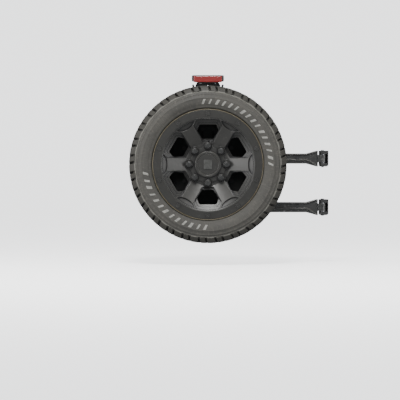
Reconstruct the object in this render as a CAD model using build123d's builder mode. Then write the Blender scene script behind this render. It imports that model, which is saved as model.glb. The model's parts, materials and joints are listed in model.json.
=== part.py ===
"""Hinged spare tire carrier: body brackets, swinging carrier, height-adjustable
wheel mount, brake lamp mast, and the spare wheel with its nuts and centre cap.

Frame: the origin is the centre of the tailgate bolt pattern, in the tailgate's
surface and straight behind the wheel's centre.  +X runs right towards the
hinges, +Y forward into the vehicle and +Z up.  Every depth below is a distance
from the tailgate's surface towards the viewer, so a depth d lies at y = -d.
"""
from build123d import *
import os

os.makedirs("parts", exist_ok=True)

BACK = Plane.XZ                  # the tailgate's surface; its normal points at the viewer

# ---- tyre and rim (radii from the wheel's axle, widths from the wheel's mid plane)
TYRE_R = 422.0                   # 285/50R22 tyre, about 844 mm over the tread
TYRE_HALF_WIDTH = 147.5
TREAD_HALF_WIDTH = 118.0
SHOULDER_R = 390.0
SHOULDER_LUGS = 36
NOTCH_WIDTH = 22.0
FLANGE_R = 297.0                 # 22 inch rim with its flange
SEAT_R = 279.4
BARREL_R = 254.0
BARREL_WALL = 9.0
RIM_HALF_WIDTH = 122.0
MID_DEPTH = 214.0                # depth of the wheel's mid plane
TYRE_GAP = 0.4                   # bead to bead seat

# ---- wheel disc
MOUNT_FACE = 250.0               # depth of the face that the wheel is clamped against
HUB_FRONT = 286.0
HUB_R = 96.0
HUB_LOBE_R = 27.0
HUB_BORE_R = 62.0
LUG_CIRCLE_R = 100.0
LUG_COUNT = 8
LUG_HOLE_R = 8.0
LUG_POCKET_R = 20.5
LUG_SEAT = 268.0
WINDOW_COUNT = 6
WINDOW_IN = 137.0
WINDOW_KNEE = 180.0
WINDOW_OUT = 214.0
WINDOW_HALF_IN = 31.0
WINDOW_HALF_KNEE = 58.0
WINDOW_HALF_OUT = 46.0
WINDOW_ROUND = 9.0
OUTER_BORDER = (121.0, 207.0, 243.5, 32.0, 78.0, 58.0)   # as six_sided takes them
INNER_BORDER = (129.0, 194.0, 228.0, 33.0, 68.0, 52.0)
BORDER_SINK = 7.5                # each border step round a window goes this much deeper
POCKET_R = 246.0                 # the lens-shaped pockets between the windows
POCKET_SHORT = 30.0
POCKET_LONG = 56.0
DISH_START_R = 116.0
DISC_EDGE_FRONT = 337.6           # depth of the dish where it is welded into the barrel
WELD_GAP = 0.1
LIP_IN = 251.0
LIP_OUT = 294.3
LIP_SEAT = 334.0
LIP_FRONT = 341.0
LIP_BOLT_CIRCLE_R = 273.0
LIP_BOLTS = 10
LIP_BOLT_R = 11.5
LIP_BOLT_POCKET_R = 13.0
LIP_BOLT_SINK = 3.0

# ---- valve and balance weights
VALVE_DIRECTION = (-0.866, 0.0, -0.5)
VALVE_DEPTH = 190.0
VALVE_TIP_R = 205.0
WEIGHT_COUNT = 7
WEIGHT_DEPTH = 225.0

# ---- lug nuts, studs and centre cap
STUD_R = 7.0
STUD_TIP = 312.0
NUT_R = 18.5
NUT_FRONT = 303.0
NUT_BORE_R = 7.06
NUT_BORE_END = 315.0
NUT_CAP_FRONT = 318.0
NUT_CAP_R = 12.5
CAP_RING_R = 71.0
CAP_DISC_R = 56.0
CAP_FRONT = 298.0
CAP_TAIL = 266.0                 # how far back the cap's skirt reaches into the hub
BADGE_WIDTH = 45.0
BADGE_HEIGHT = 52.0

# ---- carrier frame and its fixings to the tailgate
FRAME_R = 228.0
WEB_BACK = 32.0
WEB_FRONT = 44.0
RIB_BACK = 14.0
RIB_WIDTH = 7.0
GATE_BOLT_X = 130.0
GATE_BOLT_Z = 90.0
GATE_BOLT_R = 5.0
GATE_BODY_R = 5.3                # the plain body inside the casting
GATE_BOLT_REACH = 25.0           # free thread behind the tailgate's surface
PAD_R = 20.0
PAD_THICKNESS = 4.0
HOLE_PLAY = 0.5

# ---- hinges
HINGE_X = 630.0
HINGE_DEPTH = 32.0
HINGE_HEIGHTS = {"upper": 33.0, "lower": -234.0}
PIN_R = 6.0
PIN_PLAY = 0.05
BUSHING_R = 9.0
KNUCKLE_R = 21.0
KNUCKLE_HALF = 20.5
EAR_INSIDE = 25.0
EAR_OUTSIDE = 43.5
ARM_BACK = 12.0
ARM_WEB = 45.0
ARM_FRONT = 52.0
ARM_HALF = 28.0
ARM_START = 300.0
FLARE_START = 540.0
FLARE_END = 604.0
TONGUE_START = 130.0
TONGUE_HALF = 26.0
TONGUE_BACK = 14.0
ARM_BOLT_X = (170.0, 232.0)
ARM_BOLT_R = 6.0
ARM_SCREW_X = 491.0
ARM_SCREW_RISE = 4.0
ARM_SCREW_POCKET_R = 10.5
BODY_BOLT_X = 636.0
BODY_BOLT_Z = 34.0
BODY_THREAD_R = 4.25             # M10 tapping size
BODY_THREAD_DEPTH = 20.0
GASKET = 2.0
BRACKET_LEFT = 611.0
BRACKET_RIGHT = 662.0
BRACKET_WALL = 655.5
BRACKET_PLATE = 10.0
EAR_ROUND = 15.0

# ---- wheel mount
MOUNT_TRAVEL = 20.0
MOUNT_BOLT_X = 86.0
MOUNT_BOLT_Z = 60.0
MOUNT_BOLT_R = 5.0
MOUNT_HALF_X = 108.0
MOUNT_HALF_Z = 105.0
MOUNT_PLATE = 14.0
MOUNT_TUBE_R = 62.0
MOUNT_BORE_R = 46.0
STUD_FLANGE_R = 124.0
STUD_FLANGE = 16.0
GUSSET = 12.0
GUSSET_DIRECTIONS = ((0.383, 0.0, 0.924), (-0.383, 0.0, 0.924))   # between the studs
SPIGOT_R = 61.9
SPIGOT = 10.0

# ---- brake lamp and its mast
LAMP_Z = 472.0
LAMP_HALF = 88.0
LAMP_HEIGHT = 34.0
LENS_HALF = 77.5
MAST_TRAVEL = 50.0
MAST_BACK = 44.0
MAST_PLATE = 6.0
MAST_FOOT = 128.0
MAST_NECK_LOW = 436.0
MAST_NECK_TOP = 450.0
MAST_BOLT_Z = 195.0
MAST_BOLT_X = 30.0
SHELF_REACH = 40.0
GLAND_HOLE_R = 6.0
LAMP_DEPTH = 34.0
LED_COUNT = 10
LENS_DROP = 5.0                  # how far the lens hangs below the housing
KNOB_X = 81.0
KNOB_Z = 433.0
KNOB_R = 6.5

# ---- tyre rests
REST_R = 24.0
REST_PEG_R = 6.0
REST_FRONT = 64.0                # stops just short of the tyre
LEFT_REST = (-318.0, 0.0)
ARM_REST_X = 332.0


def save(piece, name):
    """Label one finished piece and write it as its own file."""
    piece.part.label = name
    export_step(piece.part, f"parts/{name}.step")


def hex_bolts(name, spots, seat, tip, shank_r, head_r, head_height, body_r=None):
    """Hexagon flange bolts from one depth back to another, with a thicker body up to depth 0 if given."""
    with BuildPart() as bolts:
        with BuildSketch(BACK.offset(seat)):
            with Locations(*spots):
                Circle(head_r + 3.0)
        extrude(amount=2.0)
        with BuildSketch(BACK.offset(seat + 2.0)):
            with Locations(*spots):
                RegularPolygon(head_r, 6)
        extrude(amount=head_height)
        with BuildSketch(BACK.offset(seat)):
            with Locations(*spots):
                Circle(shank_r)
        extrude(amount=tip - seat)
        if body_r:
            with BuildSketch(BACK.offset(seat)):
                with Locations(*spots):
                    Circle(body_r)
            extrude(amount=-seat)
    save(bolts, name)


def washers(name, spots, seat, outer_r, inner_r, thickness):
    """Flat washers lying on one depth."""
    with BuildPart() as rings:
        with BuildSketch(BACK.offset(seat)):
            with Locations(*spots):
                Circle(outer_r)
                Circle(inner_r, mode=Mode.SUBTRACT)
        extrude(amount=thickness)
    save(rings, name)


def ring_band(points):
    """Turn (radius, depth) points into a closed outline of a body round the axle."""
    return [(radius, -depth) for radius, depth in points]


# ============================================================ body side of the hinges
for level, height in HINGE_HEIGHTS.items():
    body_bolts = [(BODY_BOLT_X, height - BODY_BOLT_Z), (BODY_BOLT_X, height + BODY_BOLT_Z)]
    bracket_mid = (BRACKET_LEFT + BRACKET_RIGHT) / 2
    bracket_width = BRACKET_RIGHT - BRACKET_LEFT

    with BuildPart() as gasket:
        with BuildSketch(BACK):
            with Locations((bracket_mid, height)):
                RectangleRounded(bracket_width, 2 * EAR_OUTSIDE, 9.0)
            with Locations(*body_bolts):
                Circle(BODY_THREAD_R, mode=Mode.SUBTRACT)
        extrude(amount=GASKET)
    save(gasket, f"{level}_hinge_gasket")

    with BuildPart() as bracket:
        with BuildSketch(BACK.offset(GASKET)) as leaf:
            with Locations((bracket_mid, height)):
                Rectangle(bracket_width, 2 * EAR_OUTSIDE)
            fillet(leaf.vertices().group_by(Axis.Y)[0], 12.0)
            fillet(leaf.vertices().group_by(Axis.Y)[-1], 3.0)
        extrude(amount=ARM_FRONT - GASKET)
        with BuildSketch(BACK.offset(BRACKET_PLATE)):
            with Locations(((BRACKET_LEFT + BRACKET_WALL) / 2 - 5.0, height)):
                Rectangle(BRACKET_WALL - BRACKET_LEFT + 10.0, 2 * EAR_INSIDE)
        extrude(amount=ARM_FRONT, mode=Mode.SUBTRACT)
        # the ears' front corners are cut round so that the arm can swing past them
        with BuildSketch(Plane.XY.offset(height - EAR_OUTSIDE - 1.0)):
            with Locations((BRACKET_LEFT, -ARM_FRONT)):
                Rectangle(EAR_ROUND, EAR_ROUND, align=(Align.MIN, Align.MIN))
            with Locations((BRACKET_LEFT + EAR_ROUND, -ARM_FRONT + EAR_ROUND)):
                Circle(EAR_ROUND, mode=Mode.SUBTRACT)
        extrude(amount=2 * EAR_OUTSIDE + 2.0, mode=Mode.SUBTRACT)
        with BuildSketch(Plane.XY.offset(height - 60.0)):
            with Locations((HINGE_X, -HINGE_DEPTH)):
                Circle(PIN_R + PIN_PLAY)
        extrude(amount=120.0, mode=Mode.SUBTRACT)
        with BuildSketch(BACK):
            with Locations(*body_bolts):
                Circle(BODY_THREAD_R)
        extrude(amount=BODY_THREAD_DEPTH, mode=Mode.SUBTRACT)
    save(bracket, f"{level}_hinge_bracket")

    with BuildPart() as pin:
        with BuildSketch(Plane.XY.offset(height - EAR_OUTSIDE - 4.0)):
            with Locations((HINGE_X, -HINGE_DEPTH)):
                Circle(PIN_R)
        extrude(amount=2 * EAR_OUTSIDE + 4.0)
        with BuildSketch(Plane.XY.offset(height + EAR_OUTSIDE)):
            with Locations((HINGE_X, -HINGE_DEPTH)):
                Circle(PIN_R + 3.5)
        extrude(amount=4.0)
        chamfer(pin.edges().group_by(Axis.Z)[-1], length=1.2)
        with BuildSketch(Plane.XY.offset(height - EAR_OUTSIDE - 3.0)):
            with Locations((HINGE_X, -HINGE_DEPTH)):
                Circle(PIN_R + 3.0)
        extrude(amount=2.0)
    save(pin, f"{level}_hinge_pin")

# ============================================================ hinge arms
for level, height in HINGE_HEIGHTS.items():
    arm_bolts = [(x, height) for x in ARM_BOLT_X]
    knuckle_plane = Plane.XY.offset(height - KNUCKLE_HALF)

    with BuildPart() as arm:
        # the bar with its flare, up to the level of the sunk web
        with BuildSketch(BACK.offset(ARM_BACK)):
            with Locations((0.0, height)):
                Polygon(
                    (ARM_START, ARM_HALF), (FLARE_START, ARM_HALF),
                    (FLARE_END - 8.0, EAR_OUTSIDE), (FLARE_END, EAR_OUTSIDE),
                    (FLARE_END, -EAR_OUTSIDE), (FLARE_END - 8.0, -EAR_OUTSIDE),
                    (FLARE_START, -ARM_HALF), (ARM_START, -ARM_HALF), align=None)
        extrude(amount=ARM_WEB - ARM_BACK)
        # upper rib, from the tyre to the flare's top corner
        with BuildSketch(BACK.offset(ARM_WEB)):
            with Locations((0.0, height)):
                Polygon(
                    (ARM_START, ARM_HALF), (FLARE_START, ARM_HALF),
                    (FLARE_END - 8.0, EAR_OUTSIDE), (FLARE_END, EAR_OUTSIDE),
                    (FLARE_END, 36.0), (FLARE_END - 8.0, 34.0), (FLARE_START - 4.0, 16.0),
                    (ARM_START, 16.0), align=None)
        extrude(amount=ARM_FRONT - ARM_WEB, taper=30.0)
        # lower rib, bending down to the flare's bottom corner
        with BuildSketch(BACK.offset(ARM_WEB)):
            with Locations((0.0, height)):
                Polygon(
                    (ARM_START, -2.0), (FLARE_START, -2.0), (560.0, -9.0),
                    (FLARE_END - 8.0, -33.0), (FLARE_END, -36.0), (FLARE_END, -EAR_OUTSIDE),
                    (FLARE_END - 10.0, -EAR_OUTSIDE), (556.0, -22.0), (FLARE_START, -14.0),
                    (ARM_START, -14.0), align=None)
        extrude(amount=ARM_FRONT - ARM_WEB, taper=30.0)
        # tongue behind the carrier's web
        with BuildSketch(BACK.offset(TONGUE_BACK)):
            with Locations(((TONGUE_START + ARM_START) / 2, height)):
                Rectangle(ARM_START - TONGUE_START, 2 * TONGUE_HALF)
        extrude(amount=WEB_BACK - TONGUE_BACK)
        # knuckle
        with BuildSketch(knuckle_plane):
            with Locations((HINGE_X, -HINGE_DEPTH)):
                Circle(KNUCKLE_R)
            with Locations(((FLARE_END + HINGE_X) / 2, -HINGE_DEPTH)):
                Rectangle(HINGE_X - FLARE_END, 2 * KNUCKLE_R)
        extrude(amount=2 * KNUCKLE_HALF)
        with BuildSketch(knuckle_plane):
            with Locations((HINGE_X, -HINGE_DEPTH)):
                Circle(BUSHING_R + PIN_PLAY)
        extrude(amount=2 * KNUCKLE_HALF, mode=Mode.SUBTRACT)
        # holes for the frame bolts and a pocket for the arm's own bolt
        with BuildSketch(BACK.offset(TONGUE_BACK)):
            with Locations(*arm_bolts):
                Circle(ARM_BOLT_R + HOLE_PLAY)
        extrude(amount=WEB_BACK - TONGUE_BACK, mode=Mode.SUBTRACT)
        with BuildSketch(BACK.offset(ARM_WEB)):
            with Locations((ARM_SCREW_X, height + ARM_SCREW_RISE)):
                Circle(ARM_SCREW_POCKET_R)
        extrude(amount=ARM_FRONT, mode=Mode.SUBTRACT)
        with BuildSketch(BACK.offset(ARM_BACK)):
            with Locations((ARM_REST_X, height)):
                Circle(REST_PEG_R + HOLE_PLAY)
        extrude(amount=ARM_FRONT, mode=Mode.SUBTRACT)
    save(arm, f"{level}_hinge_arm")

    with BuildPart() as bushing:
        with BuildSketch(knuckle_plane):
            with Locations((HINGE_X, -HINGE_DEPTH)):
                Circle(BUSHING_R)
                Circle(PIN_R + PIN_PLAY, mode=Mode.SUBTRACT)
        extrude(amount=2 * KNUCKLE_HALF)
    save(bushing, f"{level}_hinge_bushing")

    with BuildPart() as thrust_washers:
        for side in (height - EAR_INSIDE + 0.3, height + KNUCKLE_HALF + 0.2):
            with BuildSketch(Plane.XY.offset(side)):
                with Locations((HINGE_X, -HINGE_DEPTH)):
                    Circle(KNUCKLE_R - 4.0)
                    Circle(PIN_R + 0.3, mode=Mode.SUBTRACT)
            extrude(amount=4.0)
    save(thrust_washers, f"{level}_hinge_washers")

    # countersunk setscrew in the arm's groove
    with BuildPart() as setscrew:
        with BuildSketch(BACK.offset(ARM_WEB)):
            with Locations((ARM_SCREW_X, height + ARM_SCREW_RISE)):
                RegularPolygon(9.0, 6)
        extrude(amount=6.0)
    save(setscrew, f"{level}_arm_screw")

    hex_bolts(f"{level}_arm_bolts", arm_bolts, WEB_FRONT, TONGUE_BACK, ARM_BOLT_R, 10.0, 7.0)

    with BuildPart() as tyre_rest:
        with BuildSketch(BACK.offset(ARM_FRONT)):
            with Locations((ARM_REST_X, height)):
                Circle(REST_R)
        extrude(amount=REST_FRONT - ARM_FRONT, taper=8.0)
        with BuildSketch(BACK.offset(ARM_BACK)):
            with Locations((ARM_REST_X, height)):
                Circle(REST_PEG_R)
        extrude(amount=ARM_FRONT - ARM_BACK)
    save(tyre_rest, f"{level}_tyre_rest")

# ============================================================ carrier frame
gate_bolts = [(x, z) for x in (-GATE_BOLT_X, GATE_BOLT_X) for z in (-GATE_BOLT_Z, GATE_BOLT_Z)]
mount_bolts = [(x, z) for x in (-MOUNT_BOLT_X, MOUNT_BOLT_X) for z in (-MOUNT_BOLT_Z, MOUNT_BOLT_Z)]
mast_bolts = [(-MAST_BOLT_X, MAST_BOLT_Z), (MAST_BOLT_X, MAST_BOLT_Z)]

with BuildPart() as frame:
    with BuildSketch(BACK.offset(RIB_BACK)) as outline:
        Circle(FRAME_R)
        with Locations((165.0, -98.0)):
            RectangleRounded(210.0, 344.0, 24.0)
        with Locations((LEFT_REST[0] / 2, 0.0)):
            RectangleRounded(-LEFT_REST[0] + 60.0, 64.0, 24.0)
    extrude(amount=WEB_FRONT - RIB_BACK)
    chamfer(frame.faces().sort_by(Axis.Y)[0].edges(), length=2.5)
    # hollow the back and leave a rim round it
    with BuildSketch(BACK.offset(RIB_BACK)):
        add(outline.sketch)
        offset(amount=-RIB_WIDTH, mode=Mode.REPLACE)
    extrude(amount=WEB_BACK - RIB_BACK, mode=Mode.SUBTRACT)
    # crossing ribs
    with BuildSketch(BACK.offset(RIB_BACK + 2.0)):
        for angle in (30.0, 90.0, 150.0):
            with Locations(Location((0.0, 0.0), angle)):
                Rectangle(2 * FRAME_R - 10.0, RIB_WIDTH)
    extrude(amount=WEB_BACK - RIB_BACK - 2.0)
    # bosses that stand on the tailgate
    with BuildSketch(BACK.offset(PAD_THICKNESS)):
        with Locations(*gate_bolts):
            Circle(PAD_R)
    extrude(amount=WEB_BACK - PAD_THICKNESS)
    # room for the arms' tongues
    for height in HINGE_HEIGHTS.values():
        with BuildSketch(BACK.offset(RIB_BACK - 1.0)):
            with Locations(((TONGUE_START + ARM_START) / 2, height)):
                Rectangle(ARM_START - TONGUE_START + 2.0, 2 * TONGUE_HALF + 1.0)
        extrude(amount=WEB_BACK - RIB_BACK + 1.0, mode=Mode.SUBTRACT)
    with BuildSketch(BACK):
        with Locations(*gate_bolts):
            Circle(GATE_BOLT_R + HOLE_PLAY)
        with Locations(*mount_bolts, *mast_bolts):
            Circle(MOUNT_BOLT_R + HOLE_PLAY)
        with Locations(*[(x, height) for x in ARM_BOLT_X for height in HINGE_HEIGHTS.values()]):
            Circle(ARM_BOLT_R + HOLE_PLAY)
        with Locations(LEFT_REST):
            Circle(REST_PEG_R + HOLE_PLAY)
    extrude(amount=WEB_FRONT + 1.0, mode=Mode.SUBTRACT)
save(frame, "carrier_frame")

washers("gate_pads", gate_bolts, 0.0, PAD_R, GATE_BOLT_R + HOLE_PLAY, PAD_THICKNESS)
hex_bolts("gate_bolts", gate_bolts, WEB_FRONT, -GATE_BOLT_REACH, GATE_BOLT_R, 8.5, 7.0, GATE_BODY_R)

with BuildPart() as left_rest:
    with BuildSketch(BACK.offset(WEB_FRONT)):
        with Locations(LEFT_REST):
            Circle(REST_R)
    extrude(amount=REST_FRONT - WEB_FRONT, taper=8.0)
    with BuildSketch(BACK.offset(WEB_BACK)):
        with Locations(LEFT_REST):
            Circle(REST_PEG_R)
    extrude(amount=WEB_FRONT - WEB_BACK)
save(left_rest, "left_tyre_rest")

# ============================================================ wheel mount
SLOT_LENGTH = 2 * MOUNT_TRAVEL + 2 * (MOUNT_BOLT_R + HOLE_PLAY) + 2.0
plate_front = WEB_FRONT + MOUNT_PLATE

with BuildPart() as mount_plate:
    with BuildSketch(BACK.offset(WEB_FRONT)):
        RectangleRounded(2 * MOUNT_HALF_X, 2 * MOUNT_HALF_Z, 18.0)
        Circle(MOUNT_BORE_R, mode=Mode.SUBTRACT)
        with Locations(*mount_bolts):
            SlotOverall(SLOT_LENGTH, 2 * (MOUNT_BOLT_R + HOLE_PLAY), rotation=90, mode=Mode.SUBTRACT)
    extrude(amount=MOUNT_PLATE)
save(mount_plate, "mount_plate")

flange_back = MOUNT_FACE - STUD_FLANGE

with BuildPart() as mount_tube:
    with BuildSketch(BACK.offset(plate_front)):
        Circle(MOUNT_TUBE_R)
        Circle(MOUNT_BORE_R, mode=Mode.SUBTRACT)
    extrude(amount=flange_back - plate_front)
save(mount_tube, "mount_tube")

# gussets between the tube, the base plate and the stud flange, clear of the studs
with BuildPart() as gussets:
    for direction in GUSSET_DIRECTIONS:
        across = (-direction[2], 0.0, direction[0])
        with BuildSketch(Plane(origin=(0.0, 0.0, 0.0), x_dir=direction, z_dir=across)):
            Polygon(
                (-100.0, -plate_front), (-50.0, -plate_front - 60.0), (-50.0, -flange_back + 60.0),
                (-118.0, -flange_back), (118.0, -flange_back), (50.0, -flange_back + 60.0),
                (50.0, -plate_front - 60.0), (100.0, -plate_front), align=None)
        extrude(amount=GUSSET / 2, both=True)
    with BuildSketch(BACK.offset(plate_front - 1.0)):
        Circle(MOUNT_TUBE_R)
    extrude(amount=MOUNT_FACE, mode=Mode.SUBTRACT)
save(gussets, "mount_gussets")

with BuildPart() as stud_flange:
    with BuildSketch(BACK.offset(flange_back)):
        Circle(STUD_FLANGE_R)
        with PolarLocations(LUG_CIRCLE_R, LUG_COUNT, start_angle=90.0):
            Circle(STUD_R + PIN_PLAY, mode=Mode.SUBTRACT)
    extrude(amount=STUD_FLANGE)
    with BuildSketch(BACK.offset(MOUNT_FACE)):
        Circle(SPIGOT_R)
    extrude(amount=SPIGOT)
    with BuildSketch(BACK.offset(flange_back)):
        Circle(MOUNT_BORE_R)
    extrude(amount=MOUNT_FACE, mode=Mode.SUBTRACT)
save(stud_flange, "stud_flange")

with BuildPart() as studs:
    with BuildSketch(BACK.offset(flange_back)):
        with PolarLocations(LUG_CIRCLE_R, LUG_COUNT, start_angle=90.0):
            Circle(STUD_R)
    extrude(amount=STUD_TIP - flange_back)
    chamfer(studs.edges().group_by(Axis.Y)[0], length=1.5)
    with BuildSketch(BACK.offset(flange_back - 5.0)):
        with PolarLocations(LUG_CIRCLE_R, LUG_COUNT, start_angle=90.0):
            Circle(STUD_R + 4.0)
    extrude(amount=5.0)
save(studs, "wheel_studs")

washers("mount_washers", mount_bolts, plate_front, 12.5, MOUNT_BOLT_R + 0.3, 2.5)
hex_bolts("mount_bolts", mount_bolts, plate_front + 2.5, RIB_BACK, MOUNT_BOLT_R, 8.5, 6.0)

# ============================================================ tyre
tyre_outside = [
    (SEAT_R + TYRE_GAP, 108.0), (FLANGE_R + TYRE_GAP, 112.0), (303.0, 123.0), (320.0, 137.5),
    (345.0, TYRE_HALF_WIDTH), (368.0, 144.0), (SHOULDER_R, 136.0), (408.0, 129.0),
    (TYRE_R, TREAD_HALF_WIDTH)]
tyre_inside = [
    (404.0, 108.0), (388.0, 122.0), (345.0, 134.0), (318.0, 124.0), (300.0, 104.0),
    (SEAT_R + TYRE_GAP, 88.0)]

with BuildPart() as tyre:
    with BuildSketch(Plane.XY):
        Polygon(
            *ring_band([(r, MID_DEPTH + w) for r, w in tyre_outside]),
            *ring_band([(r, MID_DEPTH - w) for r, w in reversed(tyre_outside)]),
            *ring_band([(r, MID_DEPTH - w) for r, w in reversed(tyre_inside)]),
            *ring_band([(r, MID_DEPTH + w) for r, w in tyre_inside]), align=None)
    revolve(axis=Axis.Y)
    # notches between the shoulder lugs, front and back
    with BuildSketch(BACK.offset(MID_DEPTH + 92.0)):
        with PolarLocations(TYRE_R + 2.0, SHOULDER_LUGS, start_angle=5.0):
            Rectangle(24.0, NOTCH_WIDTH)
    extrude(amount=60.0, mode=Mode.SUBTRACT)
    with BuildSketch(BACK.offset(MID_DEPTH - 92.0)):
        with PolarLocations(TYRE_R + 2.0, SHOULDER_LUGS, start_angle=0.0):
            Rectangle(24.0, NOTCH_WIDTH)
    extrude(amount=-60.0, mode=Mode.SUBTRACT)
save(tyre, "tyre")

# ============================================================ rim
rim_flange_in = RIM_HALF_WIDTH - 8.0
rim_seat_out = RIM_HALF_WIDTH - 12.0
rim_seat_in = RIM_HALF_WIDTH - 38.0
barrel_inside = BARREL_R - BARREL_WALL

disc_r = barrel_inside - WELD_GAP


def dish_front(radius):
    """Depth of the dished face, a plain cone, at a radius."""
    return HUB_FRONT + (DISC_EDGE_FRONT - HUB_FRONT) * (radius - DISH_START_R) / (disc_r - DISH_START_R)


def sunk_skin(inner, outer, sink):
    """Outline of everything in front of the dish, down to a constant sink below it."""
    return ring_band([
        (inner, LIP_FRONT + 10.0), (inner, dish_front(inner) - sink),
        (outer, dish_front(outer) - sink), (outer, LIP_FRONT + 10.0)])


def six_sided(inner, knee, outer, half_inner, half_knee, half_outer):
    """Half-open window shape: narrow by the hub, widest at the knee, cut off near the lip."""
    return [(inner, -half_inner), (knee, -half_knee), (outer, -half_outer),
            (outer, half_outer), (knee, half_knee), (inner, half_inner)]


def face_sinks(outline, sink):
    """Six recesses of one outline, all cut to the same sink in the dished face."""
    with BuildPart() as recess:
        with BuildSketch(Plane.XY):
            Polygon(*sunk_skin(DISH_START_R, disc_r, sink), align=None)
        revolve(axis=Axis.Y)
        with BuildSketch(BACK.offset(MOUNT_FACE)) as shape:
            with PolarLocations(0.0, WINDOW_COUNT, start_angle=90.0):
                Polygon(*outline, align=None)
            fillet(shape.vertices(), WINDOW_ROUND)
        extrude(amount=LIP_FRONT, mode=Mode.INTERSECT)
    return recess.part


outer_border = face_sinks(six_sided(*OUTER_BORDER), BORDER_SINK)
inner_border = face_sinks(six_sided(*INNER_BORDER), 2 * BORDER_SINK)

with BuildPart() as lens_pockets:
    with BuildSketch(Plane.XY):
        Polygon(*sunk_skin(DISH_START_R, disc_r + 1.0, BORDER_SINK), align=None)
    revolve(axis=Axis.Y)
    with BuildSketch(BACK.offset(MOUNT_FACE)):
        with PolarLocations(POCKET_R, WINDOW_COUNT, start_angle=60.0):
            Ellipse(POCKET_SHORT, POCKET_LONG)
    extrude(amount=LIP_FRONT, mode=Mode.INTERSECT)

with BuildPart() as barrel:
    with BuildSketch(Plane.XY):
        Polygon(*ring_band([
            (barrel_inside, DISC_EDGE_FRONT), (LIP_IN, LIP_FRONT - 1.0), (LIP_IN, LIP_SEAT),
            (LIP_OUT, LIP_SEAT), (LIP_OUT, LIP_FRONT), (FLANGE_R, LIP_FRONT),
            (FLANGE_R, MID_DEPTH + rim_flange_in),
            (SEAT_R, MID_DEPTH + rim_seat_out), (SEAT_R, MID_DEPTH + rim_seat_in),
            (BARREL_R, MID_DEPTH + 64.0), (BARREL_R, MID_DEPTH - 14.0),
            (SEAT_R, MID_DEPTH - rim_seat_in + 20.0), (SEAT_R, MID_DEPTH - rim_seat_out),
            (FLANGE_R, MID_DEPTH - rim_flange_in), (FLANGE_R, MID_DEPTH - RIM_HALF_WIDTH),
            (SEAT_R + 8.0, MID_DEPTH - RIM_HALF_WIDTH),
            (SEAT_R - BARREL_WALL, MID_DEPTH - rim_seat_out),
            (SEAT_R - BARREL_WALL, MID_DEPTH - rim_seat_in + 18.0),
            (barrel_inside, MID_DEPTH - 16.0)]), align=None)
    revolve(axis=Axis.Y)
save(barrel, "rim_barrel")

with BuildPart() as disc:
    with BuildSketch(Plane.XY):
        Polygon(*ring_band([
            (DISH_START_R, HUB_FRONT), (disc_r, DISC_EDGE_FRONT), (disc_r, 308.0), (232.0, 306.0),
            (140.0, 262.0),
            (STUD_FLANGE_R + 3.0, MOUNT_FACE), (HUB_BORE_R, MOUNT_FACE),
            (HUB_BORE_R, HUB_FRONT)]), align=None)
    revolve(axis=Axis.Y)
    # the hub's scalloped edge: a boss round each lug
    with BuildSketch(BACK.offset(HUB_FRONT - 12.0)):
        Circle(HUB_R)
        with PolarLocations(LUG_CIRCLE_R, LUG_COUNT, start_angle=90.0):
            Circle(HUB_LOBE_R)
        Circle(HUB_BORE_R, mode=Mode.SUBTRACT)
    extrude(amount=16.0)
    add(outer_border, mode=Mode.SUBTRACT)
    add(inner_border, mode=Mode.SUBTRACT)
    add(lens_pockets.part, mode=Mode.SUBTRACT)
    # six windows
    with BuildSketch(BACK.offset(MOUNT_FACE - 8.0)) as window_sketch:
        with PolarLocations(0.0, WINDOW_COUNT, start_angle=90.0):
            Polygon(
                *six_sided(WINDOW_IN, WINDOW_KNEE, WINDOW_OUT, WINDOW_HALF_IN, WINDOW_HALF_KNEE,
                           WINDOW_HALF_OUT), align=None)
        fillet(window_sketch.vertices(), WINDOW_ROUND)
    extrude(amount=LIP_FRONT - MOUNT_FACE, mode=Mode.SUBTRACT)
    # lug holes with their pockets
    with BuildSketch(BACK.offset(MOUNT_FACE)):
        with PolarLocations(LUG_CIRCLE_R, LUG_COUNT, start_angle=90.0):
            Circle(LUG_HOLE_R)
    extrude(amount=60.0, mode=Mode.SUBTRACT)
    with BuildSketch(BACK.offset(LUG_SEAT)):
        with PolarLocations(LUG_CIRCLE_R, LUG_COUNT, start_angle=90.0):
            Circle(LUG_POCKET_R)
    extrude(amount=40.0, mode=Mode.SUBTRACT)
save(disc, "rim_disc")

with BuildPart() as lip_ring:
    with BuildSketch(BACK.offset(LIP_SEAT)):
        Circle(LIP_OUT)
        Circle(LIP_IN, mode=Mode.SUBTRACT)
    extrude(amount=LIP_FRONT - LIP_SEAT)
    chamfer(lip_ring.faces().sort_by(Axis.Y)[0].edges(), length=2.0)
    with BuildSketch(BACK.offset(LIP_FRONT - LIP_BOLT_SINK)):
        with PolarLocations(LIP_BOLT_CIRCLE_R, LIP_BOLTS, start_angle=90.0):
            Circle(LIP_BOLT_POCKET_R)
    extrude(amount=LIP_BOLT_SINK, mode=Mode.SUBTRACT)
save(lip_ring, "lip_ring")

with BuildPart() as lip_bolts:
    with BuildSketch(BACK.offset(LIP_FRONT - LIP_BOLT_SINK)):
        with PolarLocations(LIP_BOLT_CIRCLE_R, LIP_BOLTS, start_angle=90.0):
            Circle(LIP_BOLT_R)
    extrude(amount=6.0)
    chamfer(lip_bolts.faces().sort_by(Axis.Y)[0].edges(), length=1.0)
    with BuildSketch(BACK.offset(LIP_FRONT)):
        with PolarLocations(LIP_BOLT_CIRCLE_R, LIP_BOLTS, start_angle=90.0):
            RegularPolygon(4.5, 6)
    extrude(amount=4.0, mode=Mode.SUBTRACT)
save(lip_bolts, "lip_bolts")

# valve, set in the barrel wall behind the bottom left window
VALVE_PLANE = Plane(origin=(0.0, 0.0, 0.0), x_dir=(0.0, 1.0, 0.0), z_dir=VALVE_DIRECTION)

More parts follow.
